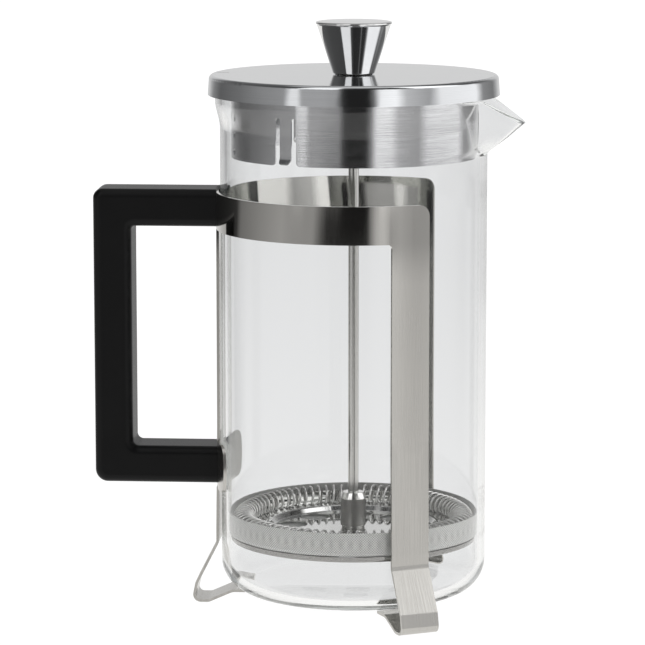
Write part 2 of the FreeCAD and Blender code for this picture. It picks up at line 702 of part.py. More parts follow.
def make_eyelet():
    low = MESH_FLOOR_Z
    high = MESH_FLOOR_Z + MESH_SHEET
    body = disc(MESH_HOLE_R, low, high)
    body = body.fuse([disc(EYELET_FLANGE_R, high, high + EYELET_FLANGE_H),
                      disc(EYELET_FLANGE_R, low - EYELET_FLANGE_H, low)]).removeSplitter()
    return body.cut(disc(EYELET_R_IN, low - 1, high + 1))


def make_cross_plate():
    h = PLATE_SHEET / 2
    low = CROSS_BOTTOM_Z + h
    corners = [(STUD_R + 0.9, low), (CROSS_R - h, low), (CROSS_R - h, CROSS_RIM_Z)]
    body = revolved_face(sheet_face(corners, (0.8,), PLATE_SHEET))
    tools = ring_of_holes(CROSS_OUTER_HOLES, CROSS_OUTER_PITCH_R, CROSS_OUTER_HOLE_R, 22, 30)
    tools += ring_of_holes(CROSS_INNER_HOLES, CROSS_INNER_PITCH_R, CROSS_INNER_HOLE_R, 22, 30, 30)
    return body.cut(tools)


def make_boss():
    """Hexagonal threaded collar riveted into the cross plate."""
    r = BOSS_FLAT / math.sqrt(3)
    points = [vec(r * math.cos(math.radians(60 * k)), r * math.sin(math.radians(60 * k)),
                  CROSS_BOTTOM_Z - BOSS_H + 1.0) for k in range(6)]
    body = Part.Face(wire_of(points)).extrude(vec(0, 0, BOSS_H - 1.0))
    body = body.fuse(disc(STUD_R + 0.9, CROSS_BOTTOM_Z - 0.5, CROSS_BOTTOM_Z + PLATE_SHEET + 0.5))
    body = body.fuse(disc(STUD_R + 1.8, CROSS_BOTTOM_Z + PLATE_SHEET, CROSS_BOTTOM_Z + PLATE_SHEET + 0.5))
    return body.removeSplitter().cut(disc(STUD_R, CROSS_BOTTOM_Z - BOSS_H - 1, CROSS_BOTTOM_Z + 3))


def main():
    os.makedirs("parts", exist_ok=True)
    shapes = {
        "beaker": make_beaker(),
        "frame_hoop": make_hoop(),
        "rear_leg": make_rear_leg(),
        "handle": make_handle(),
        "upper_screw": make_screw(SCREW_Z[0]),
        "lower_screw": make_screw(SCREW_Z[1]),
        "upper_insert": make_insert(0),
        "lower_insert": make_insert(1),
        "guide_bush": make_bush(),
        "guide_ring": make_ring(),
        "lid_cap": make_cap(),
        "lid_skirt": make_skirt(),
        "knob": make_knob(),
        "rod": disc(ROD_R, ROD_BOTTOM_Z, ROD_TOP_Z),
        "hub": make_hub(),
        "spring_plate": make_spring_plate(),
        "coil_spring": make_coil(),
        "mesh_screen": make_mesh(),
        "mesh_eyelet": make_eyelet(),
        "cross_plate": make_cross_plate(),
        "cross_boss": make_boss(),
    }
    for name, shape in shapes.items():
        box = shape.BoundBox
        shape.exportStep("parts/" + name + ".step")
        print("%-16s solids %d valid %s volume %.1f  x %.2f..%.2f y %.2f..%.2f z %.2f..%.2f" % (
            name, len(shape.Solids), shape.isValid(), shape.Volume,
            box.XMin, box.XMax, box.YMin, box.YMax, box.ZMin, box.ZMax))


main()
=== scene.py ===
import bpy
import math
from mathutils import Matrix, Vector


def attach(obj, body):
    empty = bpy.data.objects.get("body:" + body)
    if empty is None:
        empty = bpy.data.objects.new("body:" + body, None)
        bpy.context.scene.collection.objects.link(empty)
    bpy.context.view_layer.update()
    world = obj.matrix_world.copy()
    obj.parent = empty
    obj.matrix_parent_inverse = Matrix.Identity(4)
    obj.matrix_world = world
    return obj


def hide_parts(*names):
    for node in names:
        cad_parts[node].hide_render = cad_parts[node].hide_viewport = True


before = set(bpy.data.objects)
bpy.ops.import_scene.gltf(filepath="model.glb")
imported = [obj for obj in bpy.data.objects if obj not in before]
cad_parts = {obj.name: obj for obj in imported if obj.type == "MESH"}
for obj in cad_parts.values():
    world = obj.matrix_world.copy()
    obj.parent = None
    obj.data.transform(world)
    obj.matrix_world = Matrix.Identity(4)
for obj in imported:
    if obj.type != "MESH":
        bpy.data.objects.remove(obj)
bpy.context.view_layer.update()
mm = 0.001


# helpers for building node trees

def feed(tree, socket, value):
    # a number or colour is set on the socket, another socket is linked to it
    if isinstance(value, (int, float, tuple)):
        socket.default_value = value
    else:
        tree.links.new(value, socket)


def maths(tree, kind, *values):
    node = tree.nodes.new("ShaderNodeMath")
    node.operation = kind
    for socket, value in zip(node.inputs, values):
        feed(tree, socket, value)
    return node.outputs[0]


def remap(tree, value, low, high, outLow=0.0, outHigh=1.0):
    node = tree.nodes.new("ShaderNodeMapRange")
    feed(tree, node.inputs["Value"], value)
    feed(tree, node.inputs["From Min"], low)
    feed(tree, node.inputs["From Max"], high)
    feed(tree, node.inputs["To Min"], outLow)
    feed(tree, node.inputs["To Max"], outHigh)
    return node.outputs[0]


def noise(tree, vector, scale, detail=2.0, rough=0.5):
    node = tree.nodes.new("ShaderNodeTexNoise")
    node.inputs["Scale"].default_value = scale
    node.inputs["Detail"].default_value = detail
    node.inputs["Roughness"].default_value = rough
    tree.links.new(vector, node.inputs["Vector"])
    return node.outputs["Fac"]


def objectSpace(tree):
    return tree.nodes.new("ShaderNodeTexCoord").outputs["Object"]


def stretched(tree, vector, factor):
    node = tree.nodes.new("ShaderNodeVectorMath")
    node.operation = "SCALE"
    tree.links.new(vector, node.inputs[0])
    tree.links.new(factor, node.inputs["Scale"])
    return node.outputs[0]


def split(tree, vector):
    node = tree.nodes.new("ShaderNodeSeparateXYZ")
    tree.links.new(vector, node.inputs[0])
    return node.outputs


def join(tree, x, y, z):
    node = tree.nodes.new("ShaderNodeCombineXYZ")
    for socket, value in zip(node.inputs, (x, y, z)):
        feed(tree, socket, value)
    return node.outputs[0]


def fromAxis(tree, x, y):
    squares = [maths(tree, "MULTIPLY", side, side) for side in (x, y)]
    return maths(tree, "SQRT", maths(tree, "ADD", *squares))


def blendColor(tree, factor, first, second):
    node = tree.nodes.new("ShaderNodeMix")
    node.data_type = "RGBA"
    feed(tree, node.inputs["Factor"], factor)
    feed(tree, node.inputs[6], first)
    feed(tree, node.inputs[7], second)
    return node.outputs[2]


def dimmed(color, share):
    return (color[0] * share, color[1] * share, color[2] * share, 1)


# shader groups shared by several finishes

grainSizes = {"bandRadius": 52.5, "turnStretch": 0.05, "fineDetail": 3.0, "fineRough": 0.6,
              "softScale": 45.0, "softShare": 0.2, "faint": 0.3, "strong": 0.7}
handlingSizes = {"detail": 4.0, "rough": 0.55, "patchFrom": 0.45, "patchTo": 0.72}
skinSizes = {"broadScale": 70.0, "broadDetail": 3.0, "toneSpread": 0.15, "faint": 0.3, "strong": 0.7}
weaveSizes = {"pitch": 0.95, "wallRadius": 46.8, "floorEdge": 46.0, "overShare": 0.7, "gapShade": 0.25,
              "wireFrom": -0.6, "wireTo": 0.9}


def newGroup(name, inputs, outputs):
    tree = bpy.data.node_groups.new(name, "ShaderNodeTree")
    for label, default in inputs.items():
        socket = tree.interface.new_socket(label, in_out="INPUT", socket_type="NodeSocketFloat")
        socket.default_value = default
    for label in outputs:
        tree.interface.new_socket(label, in_out="OUTPUT", socket_type="NodeSocketFloat")
    return tree, tree.nodes.new("NodeGroupInput").outputs, tree.nodes.new("NodeGroupOutput").inputs


def makeBrushedGrain():
    # long scratches, either up the sheet or round the beaker's axis
    s = grainSizes
    tree, given, result = newGroup(
        "brushedGrain",
        {"Across": 9000.0, "Along": 60.0, "Turned": 0.0, "Smooth": 0.16, "Rough": 0.3, "Dark": 0.9},
        ("Tone", "Roughness", "Height"))
    x, y, z = split(tree, objectSpace(tree))
    angle = maths(tree, "ARCTAN2", y, x)
    arc = maths(tree, "MULTIPLY", angle, s["bandRadius"] * mm)  # metres round the band
    straight = join(tree, maths(tree, "MULTIPLY", arc, given["Across"]), 0.0,
                    maths(tree, "MULTIPLY", z, given["Along"]))
    turn = maths(tree, "MULTIPLY", angle, maths(tree, "MULTIPLY", given["Along"], s["turnStretch"]))
    turned = join(tree, maths(tree, "MULTIPLY", fromAxis(tree, x, y), given["Across"]), turn,
                  maths(tree, "MULTIPLY", z, given["Across"]))
    pick = tree.nodes.new("ShaderNodeMix")
    pick.data_type = "VECTOR"
    feed(tree, pick.inputs["Factor"], given["Turned"])
    feed(tree, pick.inputs[4], straight)
    feed(tree, pick.inputs[5], turned)
    fine = noise(tree, pick.outputs[1], 1.0, s["fineDetail"], s["fineRough"])
    soft = noise(tree, objectSpace(tree), s["softScale"])
    streak = maths(tree, "ADD", maths(tree, "MULTIPLY", fine, 1 - s["softShare"]),
                   maths(tree, "MULTIPLY", soft, s["softShare"]))
    feed(tree, result["Tone"], remap(tree, streak, s["faint"], s["strong"], given["Dark"], 1.0))
    feed(tree, result["Roughness"],
         remap(tree, streak, s["faint"], s["strong"], given["Rough"], given["Smooth"]))
    feed(tree, result["Height"], fine)
    return tree


def makeHandlingMarks():
    # faint wiped patches left by hands
    s = handlingSizes
    tree, given, result = newGroup("handlingMarks", {"Scale": 60.0, "Clean": 0.03, "Touched": 0.09},
                                   ("Roughness", "Mask"))
    place = stretched(tree, objectSpace(tree), given["Scale"])
    mask = remap(tree, noise(tree, place, 1.0, s["detail"], s["rough"]), s["patchFrom"], s["patchTo"])
    feed(tree, result["Mask"], mask)
    feed(tree, result["Roughness"], remap(tree, mask, 0.0, 1.0, given["Clean"], given["Touched"]))
    return tree


def makeMouldedSkin():
    # spark-eroded mould texture: tight pebbles over a slight unevenness
    s = skinSizes
    tree, given, result = newGroup("mouldedSkin", {"Scale": 2600.0, "Smooth": 0.38, "Rough": 0.52},
                                   ("Tone", "Roughness", "Height"))
    place = objectSpace(tree)
    pebble = noise(tree, stretched(tree, place, given["Scale"]), 1.0, 1.0)
    broad = noise(tree, place, s["broadScale"], s["broadDetail"])
    feed(tree, result["Tone"],
         remap(tree, broad, s["faint"], s["strong"], 1 - s["toneSpread"], 1 + s["toneSpread"]))
    feed(tree, result["Roughness"],
         remap(tree, pebble, s["faint"], s["strong"], given["Smooth"], given["Rough"]))
    feed(tree, result["Height"], pebble)
    return tree


def makeWovenWire():
    # two sets of wires crossing on the slant, on the wall by angle and height, on the floor by x and y
    s = weaveSizes
    tree, given, result = newGroup("wovenWire", {"Pitch": s["pitch"], "Round": s["wallRadius"]},
                                   ("Wire", "Height"))
    x, y, z = split(tree, objectSpace(tree))
    wall = maths(tree, "GREATER_THAN", fromAxis(tree, x, y), s["floorEdge"] * mm)
    flat = maths(tree, "SUBTRACT", 1.0, wall)
    arc = maths(tree, "MULTIPLY", maths(tree, "ARCTAN2", y, x), maths(tree, "MULTIPLY", given["Round"], mm))
    across = maths(tree, "ADD", maths(tree, "MULTIPLY", arc, wall), maths(tree, "MULTIPLY", x, flat))
    up = maths(tree, "ADD", maths(tree, "MULTIPLY", z, wall), maths(tree, "MULTIPLY", y, flat))
    turnsPerMetre = maths(tree, "DIVIDE", 2 * math.pi / mm, given["Pitch"])
    waves = []
    for sign in (1.0, -1.0):
        slant = maths(tree, "ADD", across, maths(tree, "MULTIPLY", up, sign))
        waves.append(maths(tree, "SINE", maths(tree, "MULTIPLY", slant, turnsPerMetre)))
    over = maths(tree, "MAXIMUM", *waves)
    under = maths(tree, "MULTIPLY", *waves)
    height = maths(tree, "ADD", maths(tree, "MULTIPLY", over, s["overShare"]),
                   maths(tree, "MULTIPLY", under, 1 - s["overShare"]))
    feed(tree, result["Height"], height)
    # partly the weave's own pattern, partly painted shade: the gaps between the wires are darkened
    feed(tree, result["Wire"], remap(tree, over, s["wireFrom"], s["wireTo"], s["gapShade"], 1.0))
    return tree


brushedGrain = makeBrushedGrain()
handlingMarks = makeHandlingMarks()
mouldedSkin = makeMouldedSkin()
wovenWire = makeWovenWire()
print("shader groups ready")


# finishes: color is linear, across and along are scratches per metre, turned 1 runs them round the axis

steelLooks = {
    "frameSteel": {"color": (0.62, 0.605, 0.575), "smooth": 0.16, "rough": 0.30, "across": 4600.0,
                   "along": 40.0, "turned": 0.0, "dark": 0.82, "bump": 0.25, "polishFrom": 140.0},
    "lidSteel": {"color": (0.67, 0.68, 0.695), "smooth": 0.05, "rough": 0.10, "across": 7000.0,
                 "along": 40.0, "turned": 1.0, "dark": 0.9, "bump": 0.12},
    "skirtSteel": {"color": (0.66, 0.66, 0.67), "smooth": 0.06, "rough": 0.12, "across": 2600.0,
                   "along": 60.0, "turned": 1.0, "dark": 0.8, "bump": 0.3},
    "rodSteel": {"color": (0.68, 0.67, 0.65), "smooth": 0.1, "rough": 0.2, "across": 5000.0,
                 "along": 300.0, "turned": 1.0, "dark": 0.9, "bump": 0.05},
    "plateSteel": {"color": (0.74, 0.735, 0.72), "smooth": 0.02, "rough": 0.05, "across": 3000.0,
                   "along": 40.0, "turned": 1.0, "dark": 0.92, "bump": 0.03},
    "crossSteel": {"color": (0.34, 0.335, 0.325), "smooth": 0.03, "rough": 0.08, "across": 3000.0,
                   "along": 40.0, "turned": 1.0, "dark": 0.92, "bump": 0.03},
    # the hub's chamfer colour is a painted highlight on the chamfers
    "hubSteel": {"color": (0.42, 0.41, 0.395), "smooth": 0.28, "rough": 0.4, "across": 3500.0,
                 "along": 200.0, "turned": 1.0, "dark": 0.85, "bump": 0.06, "chamferHighlight": (0.9, 0.89, 0.87)},
    "fixingSteel": {"color": (0.6, 0.6, 0.6), "smooth": 0.15, "rough": 0.3, "across": 4000.0,
                    "along": 300.0, "turned": 1.0, "dark": 0.85, "bump": 0.05}}
chromeLooks = {
    # the edge finish paints a highlight: bright and partly diffuse, for the bevelled sheet edges
    "edgeSteel": {"color": (0.95, 0.945, 0.93), "clean": 0.12, "touched": 0.22, "metallic": 0.6},
    "springWire": {"color": (0.95, 0.94, 0.92), "clean": 0.04, "touched": 0.1, "metallic": 0.65},
    "knobChrome": {"color": (0.74, 0.74, 0.74), "clean": 0.02, "touched": 0.05, "metallic": 1.0},
    "insertBrass": {"color": (0.72, 0.52, 0.22), "clean": 0.22, "touched": 0.35, "metallic": 1.0}}
plasticLooks = {
    "blackPlastic": {"color": (0.0022, 0.0022, 0.0024), "smooth": 0.3, "rough": 0.42, "bump": 0.2},
    "bushPlastic": {"color": (0.02, 0.02, 0.02), "smooth": 0.3, "rough": 0.42, "bump": 0.1}}
glassLook = {"color": (0.985, 0.987, 0.988, 1), "through": (0.93, 0.94, 0.94, 1), "ior": 1.3,
             "marksScale": 35.0, "touched": 0.012, "rayDepth": 7.5, "bounces": 1.5}
polish = {"fadeBelow": 12.0, "fadeAbove": 4.0, "satinLeft": 0.22}  # mm under and over polishFrom
chamferLook = {"leanFrom": 0.2, "leanTo": 0.3, "roughShare": 0.25}
toneLook = {"darkShare": 0.35, "marksScale": 80.0, "marksTone": 0.93}
bumpDepth = {"grain": 0.03, "skin": 0.04, "weave": 0.08}


def newFinish(name, sockets):
    mat = bpy.data.materials.new(name)
    mat.use_nodes = True
    tree = mat.node_tree
    shader = tree.nodes["Principled BSDF"]
    for label, value in sockets.items():
        shader.inputs[label].default_value = value
    return mat, tree, shader


def useGroup(tree, group, values):
    node = tree.nodes.new("ShaderNodeGroup")
    node.node_tree = group
    for label, value in values.items():
        node.inputs[label].default_value = value
    return node.outputs


def toned(tree, tone, color):
    # the finish's own colour, darkened by a changing tone
    share = remap(tree, tone, toneLook["darkShare"], 1.0)
    return blendColor(tree, share, dimmed(color, toneLook["darkShare"]), (*color, 1))


def bumped(tree, shader, height, strength, depth):
    node = tree.nodes.new("ShaderNodeBump")
    node.inputs["Strength"].default_value = strength
    node.inputs["Distance"].default_value = depth * mm
    tree.links.new(height, node.inputs["Height"])
    tree.links.new(node.outputs[0], shader.inputs["Normal"])


def steelFinish(name, color, smooth, rough, across, along, turned, dark, bump, polishFrom=None,
                chamferHighlight=None):
    mat, tree, shader = newFinish(name, {"Metallic": 1.0})
    grain = useGroup(tree, brushedGrain, {"Across": across, "Along": along, "Turned": turned,
                                          "Smooth": smooth, "Rough": rough, "Dark": dark})
    tone = grain["Tone"]
    roughness = grain["Roughness"]
    height = grain["Height"]
    if polishFrom:  # the sheet is shinier above this height
        z = split(tree, objectSpace(tree))[2]
        fadeFrom = (polishFrom - polish["fadeBelow"]) * mm
        fadeTo = (polishFrom + polish["fadeAbove"]) * mm
        satin = remap(tree, z, fadeFrom, fadeTo, 1.0, polish["satinLeft"])
        roughness = maths(tree, "MULTIPLY", roughness, satin)
        height = maths(tree, "MULTIPLY", height, satin)
        dirt = maths(tree, "MULTIPLY", maths(tree, "SUBTRACT", 1.0, tone), satin)
        tone = maths(tree, "SUBTRACT", 1.0, dirt)
    base = toned(tree, tone, color)
    if chamferHighlight:  # painted highlight: chamfers that lean up or down get a brighter colour, as if catching the light, and are also shinier than the straight side
        lean = split(tree, tree.nodes.new("ShaderNodeNewGeometry").outputs["Normal"])[2]
        slope = remap(tree, maths(tree, "ABSOLUTE", lean), chamferLook["leanFrom"], chamferLook["leanTo"])
        roughness = maths(tree, "MULTIPLY", roughness,
                          remap(tree, slope, 0.0, 1.0, 1.0, chamferLook["roughShare"]))
        base = blendColor(tree, slope, base, (*chamferHighlight, 1))
    feed(tree, shader.inputs["Base Color"], base)
    feed(tree, shader.inputs["Roughness"], roughness)
    bumped(tree, shader, height, bump, bumpDepth["grain"])
    return mat


def chromeFinish(name, color, clean, touched, metallic):
    mat, tree, shader = newFinish(name, {"Metallic": metallic})
    marks = useGroup(tree, handlingMarks, {"Scale": toneLook["marksScale"], "Clean": clean,
                                           "Touched": touched})
    tone = remap(tree, marks["Mask"], 0.0, 1.0, 1.0, toneLook["marksTone"])
    feed(tree, shader.inputs["Base Color"], toned(tree, tone, color))
    feed(tree, shader.inputs["Roughness"], marks["Roughness"])
    return mat


def plasticFinish(name, color, smooth, rough, bump):
    mat, tree, shader = newFinish(name, {"Specular IOR Level": 0.18})
    skin = useGroup(tree, mouldedSkin, {"Smooth": smooth, "Rough": rough})
    spread = skinSizes["toneSpread"]
    share = remap(tree, skin["Tone"], 1 - spread, 1 + spread)
    feed(tree, shader.inputs["Base Color"], blendColor(tree, share, dimmed(color, 0.8), dimmed(color, 1.2)))
    feed(tree, shader.inputs["Roughness"], skin["Roughness"])
    bumped(tree, shader, skin["Height"], bump, bumpDepth["skin"])
    return mat


def glassFinish(name):
    look = glassLook
    mat, tree, shader = newFinish(name, {"Transmission Weight": 1.0, "IOR": look["ior"], "Metallic": 0.0,
                                         "Base Color": look["color"]})
    marks = useGroup(tree, handlingMarks, {"Scale": look["marksScale"], "Clean": 0.0,
                                           "Touched": look["touched"]})
    feed(tree, shader.inputs["Roughness"], marks["Roughness"])
    # shadow rays, and rays caught in the wall, pass straight through
    clear = tree.nodes.new("ShaderNodeBsdfTransparent")
    clear.inputs["Color"].default_value = look["through"]
    path = tree.nodes.new("ShaderNodeLightPath").outputs
    trapped = maths(tree, "MAXIMUM", maths(tree, "GREATER_THAN", path["Ray Depth"], look["rayDepth"]),
                    maths(tree, "GREATER_THAN", path["Glossy Depth"], look["bounces"]))
    mix = tree.nodes.new("ShaderNodeMixShader")
    feed(tree, mix.inputs[0], maths(tree, "MAXIMUM", path["Is Shadow Ray"], trapped))
    feed(tree, mix.inputs[1], shader.outputs[0])
    feed(tree, mix.inputs[2], clear.outputs[0])
    feed(tree, tree.nodes["Material Output"].inputs["Surface"], mix.outputs[0])
    return mat


finishes = {"clearGlass": glassFinish("clearGlass")}
for maker, looks in ((steelFinish, steelLooks), (chromeFinish, chromeLooks), (plasticFinish, plasticLooks)):
    for name, look in looks.items():
        finishes[name] = maker(name, **look)
print("finishes ready")


# mesh helpers

edgeBreak = {"segments": 2, "fromAngle": 45}


def addPiece(name, shape, finish, body, node, sharp=35):
    verts, faces = shape
    mesh = bpy.data.meshes.new(name)
    mesh.from_pydata([(x * mm, y * mm, z * mm) for x, y, z in verts], [], faces)
    mesh.update()
    mesh.materials.append(finishes[finish])
    piece = bpy.data.objects.new(name, mesh)
    bpy.context.scene.collection.objects.link(piece)
    for face in mesh.polygons:
        face.use_smooth = True
    mesh.set_sharp_from_angle(angle=math.radians(sharp))
    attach(piece, body)
    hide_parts(node)
    return piece


def softCorners(corners, steps=6, closed=False):
    # corners are (r, z, fillet), and every fillet becomes a short arc
    count = len(corners)
    path = []
    for i, (r, z, fillet) in enumerate(corners):
        if fillet <= 0 or (not closed and i in (0, count - 1)):
            path.append((r, z))
            continue
        here = Vector((r, z))
        before = Vector(corners[i - 1][:2]) - here
        after = Vector(corners[(i + 1) % count][:2]) - here
        before.normalize()
        after.normalize()
        half = before.angle(after) / 2
        cut = fillet / math.tan(half)
        centre = here + (before + after).normalized() * (fillet / math.sin(half))
        first = here + before * cut - centre
        last = here + after * cut - centre
        for k in range(steps + 1):
            path.append(tuple(centre + first.slerp(last, k / steps) * fillet))
    return path


def bridge(low, high):
    # the faces between two rings of points, which may be gathered in one point on the axis
    faces = []
    for k in range(len(low)):
        m = (k + 1) % len(low)
        quad = [low[k], low[m], high[m], high[k]]
        corners = [v for i, v in enumerate(quad) if v != quad[i - 1]]
        if len(corners) > 2:
            faces.append(corners)
    return faces


def lathe(path, segments, closed=False):
    verts = []
    rows = []
    for r, z in path:
        if r == 0:
            rows.append([len(verts)] * segments)
            verts.append((0, 0, z))
            continue
        rows.append(list(range(len(verts), len(verts) + segments)))
        for k in range(segments):
            a = 2 * math.pi * k / segments
            verts.append((r * math.cos(a), r * math.sin(a), z))
    pairs = list(zip(rows, rows[1:]))
    if closed:
        pairs.append((rows[-1], rows[0]))
    return verts, [face for low, high in pairs for face in bridge(low, high)]


def dress(nodeName, finish, bevel=0.0, sharp=35, edgeHighlightFinish=None):
    # a carried-over solid gets its finish, smooth shading and a slight edge break
    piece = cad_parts[nodeName]
    piece.data.materials.clear()
    piece.data.materials.append(finishes[finish])
    for face in piece.data.polygons:
        face.use_smooth = True
        face.material_index = 0
    piece.data.set_sharp_from_angle(angle=math.radians(sharp))
    if bevel:
        edge = piece.modifiers.new("edgeBreak", "BEVEL")
        edge.width = bevel * mm
        edge.segments = edgeBreak["segments"]
        edge.limit_method = "ANGLE"
        edge.angle_limit = math.radians(edgeBreak["fromAngle"])
        edge.harden_normals = True
        if edgeHighlightFinish:  # painted highlight: the bevelled edges get a bright, partly diffuse finish that shows as a light line
            piece.data.materials.append(finishes[edgeHighlightFinish])
            edge.material = 1
    flat = piece.modifiers.new("flatFaces", "WEIGHTED_NORMAL")
    flat.keep_sharp = True


# beaker: lengths in mm, tipRound and flank in radians round the axis

beakerSizes = {"radius": 50.0, "wall": 2.4, "bottom": 5.3, "floor": 3.2, "cornerRadius": 12.0, "rim": 198.9,
               "flareStart": 181.0, "flareEnd": 191.5, "flareGrowth": 1.8, "spoutStart": 171.4,
               "spoutSlope": 1.38, "spoutEase": 0.6, "spoutReach": 24.0, "spoutCurl": 0.9, "tipRound": 0.045,
               "flank": 0.19, "dipStart": 35.8, "dipEnd": 42.0, "shelf": 193.0, "edge": 49.4,
               "lipSlope": 0.61, "rimRound": 0.5, "lowestRim": 175.0}
beakerRows = {"columns": 360, "crowding": 0.7, "disc": (8, 20, 30), "corner": 12, "wall": 11, "spout": 40,
              "rim": 8, "rimHalvings": 40}


def ramp(value, start, end):
    return min(1.0, max(0.0, (value - start) / (end - start)))


def beakerRadius(turn, z):
    s = beakerSizes
    t = ramp(z, s["flareStart"], s["flareEnd"])
    flare = s["flareGrowth"] * t * t * (3 - 2 * t)
    rise = max(0.0, z - s["spoutStart"])
    reach = s["spoutSlope"] * (math.hypot(rise, s["spoutEase"]) - s["spoutEase"])
    reach = s["spoutReach"] * math.tanh(reach / s["spoutReach"] * s["spoutCurl"]) / s["spoutCurl"]
    bump = math.exp(-(math.hypot(turn, s["tipRound"]) - s["tipRound"]) / s["flank"])
    return s["radius"] + flare + reach * bump


def beakerRim(turn):
    # the mouth dips along a slanting cut towards the spout's tip, and its height is found by halving
    s = beakerSizes
    low, high = s["lowestRim"], s["rim"]
    for _ in range(beakerRows["rimHalvings"]):
        z = (low + high) / 2
        x = beakerRadius(turn, z) * math.cos(turn)
        dip = ramp(x, s["dipStart"], s["dipEnd"])
        top = s["rim"] - (s["rim"] - s["shelf"]) * dip - s["lipSlope"] * max(0.0, x - s["edge"])
        if z > top:
            high = z
        else:
            low = z
    return high


def makeBeaker():
    s = beakerSizes
    n = beakerRows
    turns = []
    for k in range(n["columns"]):
        t = 2 * k / n["columns"] - 1
        turns.append(math.pi * ((1 - n["crowding"]) * t + n["crowding"] * t ** 3))  # closer round the spout
    rings = []

    def ring(radius, z):
        rings.append([(radius * math.cos(a), radius * math.sin(a), z) for a in turns])

    def cornerRing(radius, fillet, level, share):
        a = math.pi / 2 * share
        ring(radius - fillet + fillet * math.sin(a), level + fillet * (1 - math.cos(a)))

    rimLift = s["wall"] / 2 * s["rimRound"]
    tops = [beakerRim(a) - rimLift for a in turns]

    def wallRing(k, inset):
        points = []
        for a, top in zip(turns, tops):
            z = s["spoutStart"] + (top - s["spoutStart"]) * k / n["spout"]
            r = beakerRadius(a, z) - inset
            points.append((r * math.cos(a), r * math.sin(a), z))
        return points

    corner = s["cornerRadius"]
    for r in (*n["disc"], s["radius"] - corner):
        ring(r, s["bottom"])
    for k in range(1, n["corner"] + 1):
        cornerRing(s["radius"], corner, s["bottom"], k / n["corner"])
    for k in range(1, n["wall"] + 1):
        ring(s["radius"], s["bottom"] + corner + (s["spoutStart"] - s["bottom"] - corner) * k / n["wall"])
    for k in range(1, n["spout"] + 1):
        rings.append(wallRing(k, 0.0))
    # the rim is rounded over from the outer wall to the inner one
    below, outer = rings[-2:]
    inner = wallRing(n["spout"], s["wall"])
    for k in range(1, n["rim"]):
        a = math.pi * k / n["rim"]
        points = []
        for o, b, i in zip(map(Vector, outer), map(Vector, below), map(Vector, inner)):
            upward = (o - b).normalized()
            points.append(tuple((o + i) / 2 + (o - i) / 2 * math.cos(a) + upward * rimLift * math.sin(a)))
        rings.append(points)
    for k in range(n["spout"], -1, -1):
        rings.append(wallRing(k, s["wall"]))
    inFloor = s["bottom"] + s["floor"]
    inCorner = corner - s["wall"]
    inRadius = s["radius"] - s["wall"]
    for k in range(1, n["wall"] + 1):
        ring(inRadius, s["spoutStart"] - (s["spoutStart"] - inFloor - inCorner) * k / n["wall"])
    for k in range(1, n["corner"] + 1):
        cornerRing(inRadius, inCorner, inFloor, 1 - k / n["corner"])
    for r in reversed(n["disc"]):
        ring(r, inFloor)
    rows = [list(range(i * n["columns"], (i + 1) * n["columns"])) for i in range(len(rings))]
    faces = [face for low, high in zip(rows, rows[1:]) for face in bridge(low, high)]
    faces += [rows[0][::-1], rows[-1]]
    verts = [point for points in rings for point in points]
    addPiece("beakerGlass", (verts, faces), "clearGlass", "beaker", "beaker", sharp=60)


makeBeaker()
print("beaker ready")


# frame and handle

for nodeName in ("frame_hoop", "rear_leg"):
    dress(nodeName, "frameSteel", bevel=0.3, edgeHighlightFinish="edgeSteel")
dress("handle", "blackPlastic", sharp=50)
for end in ("upper", "lower"):
    dress(end + "_screw", "fixingSteel")
    dress(end + "_insert", "insertBrass")
print("frame and handle ready")


# lid

dress("lid_cap", "lidSteel")
dress("lid_skirt", "skirtSteel", bevel=0.1)
dress("guide_bush", "bushPlastic")
dress("guide_ring", "fixingSteel")
print("lid ready")


# plunger: lengths in mm

knobSizes = {"bottom": 201.2, "neck": 7.8, "coneTop": 219.3, "cone": 13.75, "rimLow": 219.7,
             "rimHigh": 220.4, "rim": 14.2, "rollTop": 220.6, "roll": 12.9, "top": 220.8, "segments": 160}
rodSizes = {"bottom": 32.1, "top": 212.9, "radius": 1.98, "segments": 48}
hubSizes = {"studBottom": 22.6, "stud": 2.5, "seatBottom": 28.5, "seat": 4.3, "seatTop": 29.1,
            "bodyBottom": 29.5, "body": 4.75, "bodyTop": 39.9, "top": 42.3, "chamferTop": 4.0,
            "bore": 2.0, "boreBottom": 33.0, "steps": 4, "segments": 72}
cupSizes = {"hole": 4.0, "outside": 47.0, "inside": 46.65, "bottom": 27.15, "floor": 27.5, "top": 36.2,
            "outerFillet": 1.6, "innerFillet": 1.3, "segments": 256}
coilSizes = {"turns": 84, "ringRadius": 42.0, "radius": 3.85, "wire": 0.45, "height": 32.1, "steps": 20,
             "sides": 8}
# the loop values paint the coil's light and shade onto the mesh
meshLook = {"color": (0.82, 0.82, 0.8), "metallic": 0.3, "bump": 0.8, "roughGap": 0.5, "roughWire": 0.28,
            "loopHeight": 31.8, "loopFade": 0.45, "loopShade": 0.16}


